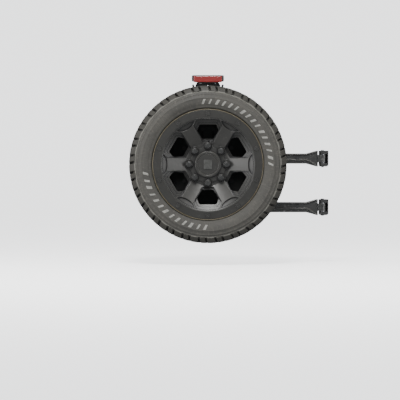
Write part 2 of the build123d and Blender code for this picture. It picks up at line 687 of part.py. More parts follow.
with BuildPart() as valve_stem:
    with BuildSketch(VALVE_PLANE.offset(VALVE_TIP_R + 14.0)):
        with Locations((-VALVE_DEPTH, 0.0)):
            Circle(4.0)
    extrude(amount=barrel_inside - VALVE_TIP_R - 14.0)
    with BuildSketch(VALVE_PLANE.offset(barrel_inside - 6.0)):
        with Locations((-VALVE_DEPTH, 0.0)):
            Circle(7.5)
    extrude(amount=5.0)
save(valve_stem, "valve_stem")

with BuildPart() as valve_cap:
    with BuildSketch(VALVE_PLANE.offset(VALVE_TIP_R)):
        with Locations((-VALVE_DEPTH, 0.0)):
            Circle(5.2)
    extrude(amount=14.0)
save(valve_cap, "valve_cap")

# stick-on balance weights on the barrel's inside
with BuildPart() as weights:
    with BuildSketch(BACK.offset(WEIGHT_DEPTH)):
        with PolarLocations(barrel_inside - 3.0, WEIGHT_COUNT, start_angle=200.0, angular_range=40.0):
            Rectangle(5.0, 19.0)
    extrude(amount=22.0)
save(weights, "balance_weights")

# ============================================================ lug nuts and centre cap
with BuildPart() as nuts:
    with BuildSketch(BACK.offset(LUG_SEAT)):
        with PolarLocations(LUG_CIRCLE_R, LUG_COUNT, start_angle=90.0):
            Circle(NUT_R)
    extrude(amount=NUT_FRONT - LUG_SEAT)
    chamfer(nuts.faces().sort_by(Axis.Y)[0:LUG_COUNT].edges(), length=3.0)
    with BuildSketch(BACK.offset(NUT_FRONT)):
        with PolarLocations(LUG_CIRCLE_R, LUG_COUNT, start_angle=90.0):
            RegularPolygon(NUT_CAP_R, 6)
    extrude(amount=NUT_CAP_FRONT - NUT_FRONT)
    with BuildSketch(BACK.offset(LUG_SEAT)):
        with PolarLocations(LUG_CIRCLE_R, LUG_COUNT, start_angle=90.0):
            Circle(NUT_BORE_R)
    extrude(amount=NUT_BORE_END - LUG_SEAT, mode=Mode.SUBTRACT)
save(nuts, "lug_nuts")

with BuildPart() as cap_ring:
    with BuildSketch(BACK.offset(HUB_FRONT + 4.0)):
        Circle(CAP_RING_R)
        Circle(CAP_DISC_R + 0.2, mode=Mode.SUBTRACT)
    extrude(amount=CAP_FRONT - HUB_FRONT - 4.0)
    chamfer(cap_ring.faces().sort_by(Axis.Y)[0].edges(), length=3.0)
save(cap_ring, "cap_ring")

with BuildPart() as cap_disc:
    with BuildSketch(BACK.offset(HUB_FRONT + 4.0)):
        Circle(CAP_DISC_R)
    extrude(amount=6.0)
    with BuildSketch(BACK.offset(CAP_TAIL)):
        Circle(HUB_BORE_R - 0.4)
        Circle(HUB_BORE_R - 3.4, mode=Mode.SUBTRACT)
    extrude(amount=HUB_FRONT - CAP_TAIL)
    with BuildSketch(BACK.offset(HUB_FRONT)):
        Circle(HUB_BORE_R - 0.4)
    extrude(amount=4.0)
save(cap_disc, "cap_disc")

with BuildPart() as badge:
    with BuildSketch(BACK.offset(HUB_FRONT + 10.0)):
        RectangleRounded(BADGE_WIDTH, BADGE_HEIGHT, 6.0)
    extrude(amount=3.0)
    chamfer(badge.faces().sort_by(Axis.Y)[0].edges(), length=1.0)
save(badge, "cap_badge")

# ============================================================ brake lamp and its mast
slot_mid = MAST_BOLT_Z - MAST_TRAVEL / 2
mast_slot = MAST_TRAVEL + 2 * (MOUNT_BOLT_R + HOLE_PLAY) + 2.0

with BuildPart() as mast:
    with BuildSketch(BACK.offset(MAST_BACK)):
        Polygon(
            (-50.0, MAST_FOOT), (-50.0, 330.0), (-64.0, 385.0), (-68.0, MAST_NECK_LOW),
            (-60.0, MAST_NECK_TOP), (60.0, MAST_NECK_TOP), (68.0, MAST_NECK_LOW), (64.0, 385.0),
            (50.0, 330.0), (50.0, MAST_FOOT), align=None)
        with Locations((-MAST_BOLT_X, slot_mid), (MAST_BOLT_X, slot_mid)):
            SlotOverall(mast_slot, 2 * (MOUNT_BOLT_R + HOLE_PLAY), rotation=90, mode=Mode.SUBTRACT)
        # ears that carry the two round stops
        for side in (-1.0, 1.0):
            Polygon(
                (side * 60.0, 392.0), (side * 60.0, 416.0), (side * (KNOB_X - 5.0), KNOB_Z - 2.0),
                (side * (KNOB_X + 4.0), KNOB_Z - 2.0), (side * (KNOB_X + 4.0), KNOB_Z - 12.0), align=None)
    extrude(amount=MAST_PLATE)
    # stiffening flanges down both sides
    with BuildSketch(BACK.offset(MAST_BACK)):
        with Locations((-47.5, 270.0), (47.5, 270.0)):
            Rectangle(5.0, 120.0)
    extrude(amount=16.0)
    # shelf that carries the lamp
    with BuildSketch(Plane.XY.offset(MAST_NECK_TOP - 4.0)):
        with Locations((0.0, -MAST_BACK - SHELF_REACH / 2)):
            Rectangle(116.0, SHELF_REACH)
    extrude(amount=4.0)
    with BuildSketch(BACK.offset(MAST_BACK)):
        with Locations((0.0, MAST_NECK_TOP - 18.0)):
            Circle(GLAND_HOLE_R)
    extrude(amount=MAST_PLATE, mode=Mode.SUBTRACT)
save(mast, "lamp_mast")

washers("mast_washers", mast_bolts, MAST_BACK + MAST_PLATE, 11.0, MOUNT_BOLT_R + 0.3, 2.0)
hex_bolts("mast_bolts", mast_bolts, MAST_BACK + MAST_PLATE + 2.0, WEB_BACK, MOUNT_BOLT_R, 8.0, 4.0)

with BuildPart() as knobs:
    with BuildSketch(BACK.offset(MAST_BACK + MAST_PLATE)):
        with Locations((-KNOB_X, KNOB_Z), (KNOB_X, KNOB_Z)):
            Circle(KNOB_R)
    extrude(amount=9.0)
    chamfer(knobs.faces().sort_by(Axis.Y)[0:2].edges(), length=1.5)
save(knobs, "mast_stops")

with BuildPart() as gland:
    with BuildSketch(BACK.offset(MAST_BACK)):
        with Locations((0.0, MAST_NECK_TOP - 18.0)):
            Circle(GLAND_HOLE_R)
            Circle(3.0, mode=Mode.SUBTRACT)
    extrude(amount=MAST_PLATE)
    with BuildSketch(BACK.offset(MAST_BACK + MAST_PLATE)):
        with Locations((0.0, MAST_NECK_TOP - 18.0)):
            Circle(GLAND_HOLE_R + 2.0)
            Circle(3.0, mode=Mode.SUBTRACT)
    extrude(amount=3.0)
save(gland, "cable_gland")

lamp_back = MAST_BACK + 4.0
lamp_front = lamp_back + LAMP_DEPTH
lamp_low = LAMP_Z - LAMP_HEIGHT / 2

with BuildPart() as housing:
    with BuildSketch(BACK.offset(lamp_back)):
        with Locations((0.0, LAMP_Z)):
            RectangleRounded(2 * LAMP_HALF, LAMP_HEIGHT, 7.0)
    extrude(amount=LAMP_DEPTH)
    with BuildSketch(BACK.offset(lamp_back + 4.0)):
        with Locations((0.0, LAMP_Z)):
            Rectangle(2 * LENS_HALF + 0.6, LAMP_HEIGHT - 6.0)
    extrude(amount=LAMP_DEPTH, mode=Mode.SUBTRACT)
save(housing, "lamp_housing")

with BuildPart() as foot:
    with BuildSketch(Plane.XY.offset(MAST_NECK_TOP)):
        with Locations((0.0, -lamp_back - LAMP_DEPTH / 2 + 2.0)):
            Rectangle(112.0, LAMP_DEPTH - 8.0)
    extrude(amount=lamp_low - MAST_NECK_TOP)
save(foot, "lamp_foot")

with BuildPart() as board:
    with BuildSketch(BACK.offset(lamp_back + 4.0)):
        with Locations((0.0, LAMP_Z)):
            Rectangle(2 * LENS_HALF - 4.0, LAMP_HEIGHT - 10.0)
    extrude(amount=1.6)
save(board, "lamp_board")

with BuildPart() as leds:
    with BuildSketch(BACK.offset(lamp_back + 5.6)):
        with Locations((0.0, LAMP_Z)):
            with GridLocations(13.0, 1.0, LED_COUNT, 1):
                Circle(3.0)
    extrude(amount=5.0)
save(leds, "lamp_leds")

with BuildPart() as lens:
    with BuildSketch(BACK.offset(lamp_front - 10.0)):
        with Locations((0.0, LAMP_Z)):
            Rectangle(2 * LENS_HALF, LAMP_HEIGHT - 6.6)
    extrude(amount=10.0)
    with BuildSketch(BACK.offset(lamp_front)):
        with Locations((0.0, LAMP_Z - LENS_DROP)):
            RectangleRounded(2 * LENS_HALF, LAMP_HEIGHT, 5.0)
    extrude(amount=8.0)
    fillet(lens.faces().sort_by(Axis.Y)[0].edges(), radius=4.0)
    with BuildSketch(BACK.offset(lamp_front - 10.0)):
        with Locations((0.0, LAMP_Z)):
            Rectangle(2 * LENS_HALF - 5.0, LAMP_HEIGHT - 11.0)
    extrude(amount=14.0, mode=Mode.SUBTRACT)
save(lens, "lamp_lens")

with BuildPart() as lamp_screws:
    with BuildSketch(Plane.XY.offset(MAST_NECK_TOP - 4.0)):
        with Locations((-40.0, -lamp_back - 22.0), (40.0, -lamp_back - 22.0)):
            Circle(4.5)
    extrude(amount=-3.0)
save(lamp_screws, "lamp_screws")
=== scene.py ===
"""Looks for the hinged spare tire carrier: the tyre's tread and sidewall are modelled here,
and every carried-over part gets its finish."""

import json
import math

import bmesh
import bpy
from mathutils import Matrix, Vector


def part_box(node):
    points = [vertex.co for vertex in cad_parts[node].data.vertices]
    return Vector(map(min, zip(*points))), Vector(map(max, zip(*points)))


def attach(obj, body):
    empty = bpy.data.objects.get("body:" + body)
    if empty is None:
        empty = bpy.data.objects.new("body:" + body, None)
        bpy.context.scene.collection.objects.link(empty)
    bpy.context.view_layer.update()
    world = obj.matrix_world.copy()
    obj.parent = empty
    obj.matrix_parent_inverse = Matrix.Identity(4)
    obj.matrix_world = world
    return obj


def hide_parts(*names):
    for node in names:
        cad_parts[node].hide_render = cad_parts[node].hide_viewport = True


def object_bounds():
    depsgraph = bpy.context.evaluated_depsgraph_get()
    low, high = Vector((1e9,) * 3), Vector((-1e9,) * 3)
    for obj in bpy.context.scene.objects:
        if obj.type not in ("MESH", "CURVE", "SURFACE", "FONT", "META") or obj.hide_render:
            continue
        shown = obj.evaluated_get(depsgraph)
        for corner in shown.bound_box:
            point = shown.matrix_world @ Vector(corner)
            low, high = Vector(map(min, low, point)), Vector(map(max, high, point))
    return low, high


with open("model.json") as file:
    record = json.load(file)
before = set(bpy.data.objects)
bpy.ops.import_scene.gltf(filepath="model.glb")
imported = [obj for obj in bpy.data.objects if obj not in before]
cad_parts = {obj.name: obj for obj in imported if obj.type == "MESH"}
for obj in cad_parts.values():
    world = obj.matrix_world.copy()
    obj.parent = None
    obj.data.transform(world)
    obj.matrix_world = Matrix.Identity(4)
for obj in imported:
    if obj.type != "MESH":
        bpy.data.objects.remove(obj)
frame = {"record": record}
cad_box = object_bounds()

# ------------------------------------------------------------------ places taken from the frame
tyre_low, tyre_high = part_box("tyre")
TYRE_R = (tyre_high[0] - tyre_low[0]) / 2
TYRE_FRONT = tyre_low[1]
TYRE_BACK = tyre_high[1]
MID_Y = (TYRE_FRONT + TYRE_BACK) / 2
TYRE_HALF = (TYRE_BACK - TYRE_FRONT) / 2
LIP_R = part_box("lip_ring")[1][0]

# ------------------------------------------------------------------ sizes of the tyre, in metres
BEAD_R = 0.2798                    # where the tyre's bead sits on the rim
GROOVE_R = TYRE_R - 0.017          # floor of the tread's grooves
SHOULDER_R = TYRE_R - 0.032        # worn line where the sidewall meets the shoulder lugs
SHARP_TURN = math.radians(34.0)    # edges that turn more than this stay sharp

# ------------------------------------------------------------------ sizes of the tread
PITCHES = 28                       # each pitch has a long and a short shoulder lug
PITCH = 2 * math.pi / PITCHES
LONG_LUG = math.radians(5.7)
SHORT_LUG = math.radians(3.7)
LONG_FOOT_R = 0.3895               # how far in the long lugs reach down the sidewall
SHORT_FOOT_R = 0.3925
LUG_GAP = (PITCH - LONG_LUG - SHORT_LUG) / 2
LUG_MIDDLE = 0.118                 # from the tyre's middle to the point a lug turns about
LUG_TWIST = 0.9                    # turn of a lug's sides across the tread, radians a metre
LUG_BEVEL = 0.0016
BLOCK_ROWS = (-0.0505, -0.0175, 0.0175, 0.0505)
BLOCK_GAP = 0.011                  # between one block of a row and the next
BLOCK_LEAN = 0.011                 # how far a block leans along the tread
BLOCK_BEVEL = 0.0018
BLOCK_ROOT = 0.002                 # how far a block is rooted below the grooves' floor

# ------------------------------------------------------------------ sizes of the sidewall bars
BAR_MIDDLE_R = 0.336
BAR_SLANT = 1.3                    # turn of a bar's sides with its radius, radians a metre
BAR_WIDTHS = (0.34, 0.26, 0.40, 0.30)    # shares of the step from one bar to the next

# ------------------------------------------------------------------ colours laid over coats and rubber
ROAD_DUST = (0.11, 0.105, 0.09)
# painted shade laid into corners and pockets
PAINTED_CORNER_SHADE = (0.003, 0.003, 0.003)
# painted highlight: the light caught along the rim flange's edge
FLANGE_HIGHLIGHT_TAN = (0.13, 0.11, 0.07)


# ================================================================== materials
def node_tree(name):
    """A new material with its shader, its output and a place for patterns."""
    material = bpy.data.materials.new(name)
    material.use_nodes = True
    tree = material.node_tree
    shader = tree.nodes["Principled BSDF"]
    place = tree.nodes.new("ShaderNodeTexCoord")
    return material, tree, shader, place.outputs["Object"]


def noise(tree, place, scale, detail=4.0, roughness=0.55, stretch=None):
    """A noise pattern, stretched along an axis where stretch is given."""
    pattern = tree.nodes.new("ShaderNodeTexNoise")
    pattern.inputs["Scale"].default_value = scale
    pattern.inputs["Detail"].default_value = detail
    pattern.inputs["Roughness"].default_value = roughness
    if stretch:
        mapping = tree.nodes.new("ShaderNodeMapping")
        mapping.inputs["Scale"].default_value = stretch
        tree.links.new(place, mapping.inputs["Vector"])
        place = mapping.outputs["Vector"]
    tree.links.new(place, pattern.inputs["Vector"])
    return pattern.outputs["Fac"]


def between(tree, value, low, high, to_low=0.0, to_high=1.0):
    """Map a value from one range to another."""
    ranged = tree.nodes.new("ShaderNodeMapRange")
    for socket, number in zip(("From Min", "From Max", "To Min", "To Max"), (low, high, to_low, to_high)):
        ranged.inputs[socket].default_value = number
    tree.links.new(value, ranged.inputs["Value"])
    return ranged.outputs["Result"]


def mixed(tree, amount, first, second):
    """Mix two colours, or a colour over an earlier mix."""
    mix = tree.nodes.new("ShaderNodeMix")
    mix.data_type = "RGBA"
    tree.links.new(amount, mix.inputs["Factor"])
    for socket, colour in ((mix.inputs[6], first), (mix.inputs[7], second)):
        if isinstance(colour, tuple):
            socket.default_value = (*colour, 1.0)
        else:
            tree.links.new(colour, socket)
    return mix.outputs[2]


def combine(tree, operation, first, second):
    """Work out one value from two."""
    maths = tree.nodes.new("ShaderNodeMath")
    maths.operation = operation
    for socket, value in zip(maths.inputs, (first, second)):
        if isinstance(value, (int, float)):
            socket.default_value = value
        else:
            tree.links.new(value, socket)
    return maths.outputs["Value"]


def bumped(tree, shader, heights, normal=None):
    """Stack bumps, each a (height, depth in metres, strength) on the shader's normal."""
    for height, depth, strength in heights:
        bump = tree.nodes.new("ShaderNodeBump")
        bump.inputs["Distance"].default_value = depth
        bump.inputs["Strength"].default_value = strength
        tree.links.new(height, bump.inputs["Height"])
        if normal:
            tree.links.new(normal, bump.inputs["Normal"])
        normal = bump.outputs["Normal"]
    tree.links.new(normal, shader.inputs["Normal"])


def polar(tree, place):
    """Radius from the axle and angle round it, as two values."""
    parts = tree.nodes.new("ShaderNodeSeparateXYZ")
    tree.links.new(place, parts.inputs["Vector"])
    squares = combine(tree, "ADD",
                      combine(tree, "MULTIPLY", parts.outputs["X"], parts.outputs["X"]),
                      combine(tree, "MULTIPLY", parts.outputs["Z"], parts.outputs["Z"]))
    radius = combine(tree, "SQRT", squares, 0.0)
    angle = combine(tree, "ARCTAN2", parts.outputs["Z"], parts.outputs["X"])
    return radius, angle


def facing_up(tree):
    """How far a surface faces up, from 0 to 1."""
    geometry = tree.nodes.new("ShaderNodeNewGeometry")
    parts = tree.nodes.new("ShaderNodeSeparateXYZ")
    tree.links.new(geometry.outputs["Normal"], parts.inputs["Vector"])
    return between(tree, parts.outputs["Z"], 0.1, 0.9)


def rounded_edges(tree, radius):
    """The normal of slightly rounded edges, and how near a point is to such an edge."""
    bevel = tree.nodes.new("ShaderNodeBevel")
    bevel.samples = 4
    bevel.inputs["Radius"].default_value = radius
    geometry = tree.nodes.new("ShaderNodeNewGeometry")
    along = tree.nodes.new("ShaderNodeVectorMath")
    along.operation = "DOT_PRODUCT"
    tree.links.new(bevel.outputs["Normal"], along.inputs[0])
    tree.links.new(geometry.outputs["Normal"], along.inputs[1])
    return bevel.outputs["Normal"], between(tree, along.outputs["Value"], 0.995, 0.90)


def crease(tree, reach, full=0.35):
    """How deep a point sits in a corner or pocket, from 0 in the open to 1 where little light gets in; it
    masks painted shade.
    """
    hidden = tree.nodes.new("ShaderNodeAmbientOcclusion")
    hidden.samples = 6
    hidden.inputs["Distance"].default_value = reach
    return between(tree, hidden.outputs["AO"], 0.95, full)


def coated_metal(name, colour, worn, rough, grain=900.0, grain_depth=0.0002, dust=0.25, metallic=0.0,
                 flange_r=None, edge_r=0.0016, crease_reach=0.012, crease_depth=0.85, crease_full=0.35):
    """A sprayed or powder-coated metal with patchy tone, worn edges, fine grain, dust on top and painted
    shade darkening its corners.

    Past the radius flange_r, where it is given, a painted tan highlight shows along the edge. crease_reach
    is the width of the line of painted shade in a corner, crease_depth its strength, and crease_full the
    openness at which it is complete.
    """
    material, tree, shader, place = node_tree(name)
    soft_normal, edge = rounded_edges(tree, edge_r)
    patches = between(tree, noise(tree, place, 9.0, 5.0), 0.35, 0.7)
    scuffs = between(tree, noise(tree, place, 60.0, 6.0, 0.65), 0.58, 0.72)
    shade = mixed(tree, patches, colour, tuple(1.25 * c for c in colour))
    shade = mixed(tree, combine(tree, "MULTIPLY", scuffs, 0.45), shade, worn)
    # worn edges are mixed toward a lighter colour; on the arms this also makes a painted highlight along the
    # ribs
    shade = mixed(tree, combine(tree, "MULTIPLY", edge, 0.7), shade, worn)
    if flange_r:
        radius, _ = polar(tree, place)
        # painted highlight: a tan line past flange_r where the flange's edge catches light
        shade = mixed(tree, between(tree, radius, flange_r - 0.0006, flange_r), shade, FLANGE_HIGHLIGHT_TAN)
    dusty = combine(tree, "MULTIPLY", facing_up(tree), dust)
    shade = mixed(tree, dusty, shade, ROAD_DUST)
    # painted shade: corners and pockets are darkened toward near black
    deep = combine(tree, "MULTIPLY", crease(tree, crease_reach, crease_full), crease_depth)
    shade = mixed(tree, deep, shade, PAINTED_CORNER_SHADE)
    tree.links.new(shade, shader.inputs["Base Color"])
    shader.inputs["Metallic"].default_value = metallic
    shader.inputs["Specular IOR Level"].default_value = 0.4
    grainy = noise(tree, place, grain, 3.0)
    tree.links.new(between(tree, scuffs, 0.0, 1.0, rough, rough + 0.18), shader.inputs["Roughness"])
    bumped(tree, shader, [(grainy, grain_depth, 0.6)], soft_normal)
    return material


def bright_metal(name, colour, rough):
    """Plated or bare metal with fine drawn lines and a few stains."""
    material, tree, shader, place = node_tree(name)
    lines = noise(tree, place, 220.0, 3.0, 0.6, (1.0, 8.0, 1.0))
    stains = between(tree, noise(tree, place, 35.0, 5.0), 0.45, 0.75)
    stained = tuple(0.55 * c for c in colour)
    tree.links.new(mixed(tree, stains, colour, stained), shader.inputs["Base Color"])
    tree.links.new(between(tree, lines, 0.2, 0.8, rough - 0.08, rough + 0.12), shader.inputs["Roughness"])
    shader.inputs["Metallic"].default_value = 0.9
    bumped(tree, shader, [(lines, 0.0002, 0.35)])
    return material


def moulded(name, colour, rough, grain=600.0, depth=0.00015, coat=0.0):
    """Moulded plastic or rubber with a fine leathery grain and faint chalky patches."""
    material, tree, shader, place = node_tree(name)
    chalk = between(tree, noise(tree, place, 26.0, 6.0), 0.5, 0.8)
    pale = tuple(min(1.0, 1.8 * c + 0.02) for c in colour)
    shade = mixed(tree, combine(tree, "MULTIPLY", chalk, 0.5), colour, pale)
    tree.links.new(shade, shader.inputs["Base Color"])
    tree.links.new(between(tree, chalk, 0.0, 1.0, rough, rough + 0.15), shader.inputs["Roughness"])
    shader.inputs["Coat Weight"].default_value = coat
    bumped(tree, shader, [(noise(tree, place, grain, 2.0), depth, 0.5)])
    return material


def tyre_rubber():
    """Used rubber: road dust, radial cracks, scuffs, fine moulded rings, a pale worn shoulder line and
    painted shade in its corners.
    """
    material, tree, shader, place = node_tree("tyre_rubber")
    radius, angle = polar(tree, place)
    dust = between(tree, noise(tree, place, 6.0, 6.0, 0.6), 0.32, 0.7)
    specks = between(tree, noise(tree, place, 130.0, 5.0, 0.7), 0.60, 0.80)
    swept = tree.nodes.new("ShaderNodeCombineXYZ")
    tree.links.new(combine(tree, "MULTIPLY", angle, 14.0), swept.inputs["X"])
    tree.links.new(combine(tree, "MULTIPLY", radius, 11.0), swept.inputs["Y"])
    streaks = noise(tree, swept.outputs["Vector"], 3.0, 7.0, 0.7)
    scuffs = between(tree, streaks, 0.52, 0.74)
    off_middle = combine(tree, "ABSOLUTE", combine(tree, "SUBTRACT", streaks, 0.5), 0.0)
    cracks = between(tree, off_middle, 0.012, 0.0)
    shade = mixed(tree, dust, (0.025, 0.024, 0.0205), (0.050, 0.0475, 0.041))
    shade = mixed(tree, combine(tree, "MULTIPLY", scuffs, 0.7), shade, (0.080, 0.069, 0.060))
    shade = mixed(tree, combine(tree, "MULTIPLY", cracks, 0.6), shade, (0.018, 0.017, 0.015))
    shade = mixed(tree, combine(tree, "MULTIPLY", specks, 0.35), shade, ROAD_DUST)
    shoulder_line = combine(tree, "MULTIPLY", between(tree, radius, SHOULDER_R - 0.004, SHOULDER_R - 0.001),
                            between(tree, radius, SHOULDER_R + 0.004, SHOULDER_R + 0.002))
    shade = mixed(tree, combine(tree, "MULTIPLY", shoulder_line, 0.6), shade, (0.17, 0.165, 0.145))
    tread = between(tree, radius, SHOULDER_R + 0.002, SHOULDER_R + 0.008)
    shade = mixed(tree, combine(tree, "MULTIPLY", tread, 0.8), shade, (0.019, 0.0175, 0.014))
    soft_normal, edge = rounded_edges(tree, 0.0014)
    rubbed = combine(tree, "MULTIPLY", edge, between(tree, noise(tree, place, 30.0, 4.0), 0.35, 0.65))
    shade = mixed(tree, combine(tree, "MULTIPLY", rubbed, 0.8), shade, (0.13, 0.12, 0.095))
    # painted shade: corners and pockets of the rubber are darkened
    shade = mixed(tree, combine(tree, "MULTIPLY", crease(tree, 0.014), 0.8), shade, (0.004, 0.004, 0.003))
    tree.links.new(shade, shader.inputs["Base Color"])
    tree.links.new(between(tree, dust, 0.0, 1.0, 0.6, 0.85), shader.inputs["Roughness"])
    shader.inputs["Specular IOR Level"].default_value = 0.35
    ring_spacing = 0.004
    rings = combine(tree, "SINE", combine(tree, "MULTIPLY", radius, 2 * math.pi / ring_spacing), 0.0)
    sidewall = between(tree, radius, SHOULDER_R - 0.004, SHOULDER_R - 0.008)
    bumped(tree, shader, [(combine(tree, "MULTIPLY", rings, sidewall), 0.0002, 0.5), (streaks, 0.0006, 0.5),
                          (noise(tree, place, 700.0, 3.0), 0.0003, 0.5)], soft_normal)
    return material


def groove_rubber():
    """The floor of the tread's grooves: dark, with packed dirt."""
    material, tree, shader, place = node_tree("groove_rubber")
    dirt = between(tree, noise(tree, place, 45.0, 6.0, 0.65), 0.45, 0.75)
    shade = mixed(tree, dirt, (0.008, 0.0075, 0.006), (0.030, 0.027, 0.021))
    tree.links.new(shade, shader.inputs["Base Color"])
    shader.inputs["Roughness"].default_value = 0.9
    bumped(tree, shader, [(noise(tree, place, 260.0, 4.0), 0.0006, 0.6)])
    return material


def pale_rubber():
    """Raised sidewall bars rubbed pale."""
    material, tree, shader, place = node_tree("pale_rubber")
    worn = between(tree, noise(tree, place, 55.0, 6.0, 0.7), 0.35, 0.7)
    shade = mixed(tree, worn, (0.13, 0.127, 0.115), (0.22, 0.215, 0.195))
    tree.links.new(shade, shader.inputs["Base Color"])
    shader.inputs["Roughness"].default_value = 0.8
    bumped(tree, shader, [(noise(tree, place, 700.0, 2.0), 0.0002, 0.5)])
    return material


def red_lens():
    """Red lamp plastic with upright ribs that show through a glossy face."""
    material, tree, shader, place = node_tree("red_lens")
    wave = tree.nodes.new("ShaderNodeTexWave")
    wave.bands_direction = "X"
    wave.inputs["Scale"].default_value = 60.0
    wave.inputs["Distortion"].default_value = 0.0
    tree.links.new(place, wave.inputs["Vector"])
    haze = between(tree, noise(tree, place, 40.0, 5.0), 0.45, 0.8)
    shade = mixed(tree, wave.outputs["Fac"], (0.115, 0.006, 0.005), (0.17, 0.010, 0.009))
    shade = mixed(tree, combine(tree, "MULTIPLY", haze, 0.2), shade, (0.22, 0.05, 0.045))
    tree.links.new(shade, shader.inputs["Base Color"])
    shader.inputs["Roughness"].default_value = 0.22
    shader.inputs["Coat Weight"].default_value = 0.25
    shader.inputs["Coat Roughness"].default_value = 0.12
    bumped(tree, shader, [(wave.outputs["Fac"], 0.0006, 0.4)])
    return material


FINISHES = {
    # sprayed and powder-coated metal
    "bracket_coat": coated_metal("bracket_coat", (0.017, 0.017, 0.016), worn=(0.05, 0.05, 0.047),
                                 rough=0.42, grain=700.0, grain_depth=0.0003),
    # the arms' pale worn colour is partly wear and partly a painted highlight on the ribs' edges
    "arm_coat": coated_metal("arm_coat", (0.022, 0.022, 0.0205), worn=(0.26, 0.25, 0.24),
                             rough=0.30, grain=700.0, grain_depth=0.0003, dust=0.3),
    "frame_coat": coated_metal("frame_coat", (0.006, 0.006, 0.006), worn=(0.02, 0.02, 0.02),
                               rough=0.6, grain=500.0, grain_depth=0.0003, dust=0.1),
    "mast_coat": coated_metal("mast_coat", (0.006, 0.007, 0.007), worn=(0.02, 0.02, 0.02),
                              rough=0.5, grain=500.0, grain_depth=0.0003, dust=0.1),
    # strong painted shade in the rim's pockets and along its window borders
    "rim_coat": coated_metal("rim_coat", (0.021, 0.0203, 0.0185), worn=(0.052, 0.050, 0.045),
                             rough=0.33, dust=0.2, metallic=0.2, edge_r=0.004,
                             crease_reach=0.022, crease_depth=1.0, crease_full=0.6),
    "lip_coat": coated_metal("lip_coat", (0.0165, 0.016, 0.0143), worn=(0.045, 0.043, 0.038),
                             rough=0.38, dust=0.2, metallic=0.2, crease_reach=0.004),
    "lip_bolt_steel": coated_metal("lip_bolt_steel", (0.0165, 0.016, 0.0145), worn=(0.05, 0.048, 0.045),
                                   rough=0.36, grain_depth=0.0001, crease_reach=0.003),
    "nut_black": coated_metal("nut_black", (0.013, 0.013, 0.0125), worn=(0.05, 0.05, 0.046),
                              rough=0.3, grain_depth=0.0001, dust=0.2, edge_r=0.003),
    "cap_black": coated_metal("cap_black", (0.016, 0.0155, 0.014), worn=(0.07, 0.068, 0.06),
                              rough=0.28, grain_depth=0.0001, dust=0.3, edge_r=0.003),
    # plated and bare metal
    "badge_grey": bright_metal("badge_grey", (0.085, 0.085, 0.08), rough=0.45),
    "pin_steel": bright_metal("pin_steel", (0.20, 0.20, 0.21), rough=0.4),
    "bushing_bronze": bright_metal("bushing_bronze", (0.45, 0.30, 0.14), rough=0.4),
    "bolt_zinc": bright_metal("bolt_zinc", (0.42, 0.42, 0.43), rough=0.35),
    "weight_lead": bright_metal("weight_lead", (0.36, 0.36, 0.37), rough=0.5),
    # moulded rubber and plastic, and blackened bolts
    "bolt_black": moulded("bolt_black", (0.008, 0.008, 0.008), rough=0.5),
    "gasket_rubber": moulded("gasket_rubber", (0.02, 0.02, 0.02), rough=0.75),
    "rest_rubber": moulded("rest_rubber", (0.022, 0.022, 0.021), rough=0.7),
    "valve_rubber": moulded("valve_rubber", (0.02, 0.02, 0.02), rough=0.6),
    "lamp_body": moulded("lamp_body", (0.007, 0.009, 0.009), rough=0.45, grain=900.0, depth=0.0001),
    "board_green": moulded("board_green", (0.03, 0.14, 0.06), rough=0.5),
    "led_clear": moulded("led_clear", (0.7, 0.68, 0.62), rough=0.2, grain=200.0, depth=0.00005, coat=0.5),
    # the tyre and the lamp's lens
    "tyre_rubber": tyre_rubber(),
    "lamp_red": red_lens(),
}
# the rim barrel's coat, with a painted highlight on the flange's edge past LIP_R
BARREL_COAT = coated_metal("barrel_coat", (0.019, 0.0185, 0.017), worn=(0.050, 0.048, 0.043),
                           rough=0.36, dust=0.2, metallic=0.2, flange_r=LIP_R)


def finish_node(node, material):
    """Give a carried-over part its finish."""
    mesh = bpy.data.objects[node].data
    mesh.materials.clear()
    mesh.materials.append(material)


for part in frame["record"]["subparts"]:
    finish_node(part["node"], FINISHES[part["material_slot"]])
finish_node("rim_barrel", BARREL_COAT)


# ================================================================== mesh helpers
def solid_piece(name, bm, body, material, slot, *nodes):
    """Turn a finished bmesh into a piece of the object."""
    bmesh.ops.remove_doubles(bm, verts=bm.verts, dist=0.00001)
    bmesh.ops.recalc_face_normals(bm, faces=bm.faces)
    mesh = bpy.data.meshes.new(name)
    bm.to_mesh(mesh)
    bm.free()
    mesh.materials.append(material)
    piece = bpy.data.objects.new(name, mesh)
    bpy.context.scene.collection.objects.link(piece)
    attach(piece, body)
    if nodes:
        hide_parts(*nodes)
    return piece


def closed_wire(bm, points):
    """A closed loop of edges through points given as (radius, distance from the tyre's middle)."""
    corners = [bm.verts.new((radius, MID_Y + across, 0.0)) for radius, across in points]
    edges = [bm.edges.new(pair) for pair in zip(corners, corners[1:] + corners[:1])]
    return corners + edges


def turn_about_axle(bm, angle, verts):
    """Turn vertices round the axle, counter-clockwise seen from the front."""
    bmesh.ops.rotate(bm, cent=(0.0, 0.0, 0.0), matrix=Matrix.Rotation(-angle, 3, "Y"), verts=verts)


def sector(points, start, sweep, steps):
    """A closed solid: a section swept part of the way round the axle."""
    bm = bmesh.new()
    bmesh.ops.spin(bm, geom=closed_wire(bm, points), cent=(0.0, 0.0, 0.0), axis=(0.0, -1.0, 0.0),
                   angle=sweep, steps=steps, use_merge=False, use_duplicate=False)
    bmesh.ops.holes_fill(bm, edges=[edge for edge in bm.edges if edge.is_boundary], sides=0)
    turn_about_axle(bm, start, bm.verts)
    bmesh.ops.recalc_face_normals(bm, faces=bm.faces)
    return bm


def join(bm, other):
    """Put a copy of another bmesh into this one."""
    mesh = bpy.data.meshes.new("joining")
    other.to_mesh(mesh)
    bm.from_mesh(mesh)
    bpy.data.meshes.remove(mesh)


def repeated(bm, single, count):
    """Copies of a piece spread evenly round the axle."""
    for index in range(count):
        copy = single.copy()
        turn_about_axle(copy, index * 2 * math.pi / count, copy.verts)
        join(bm, copy)
        copy.free()


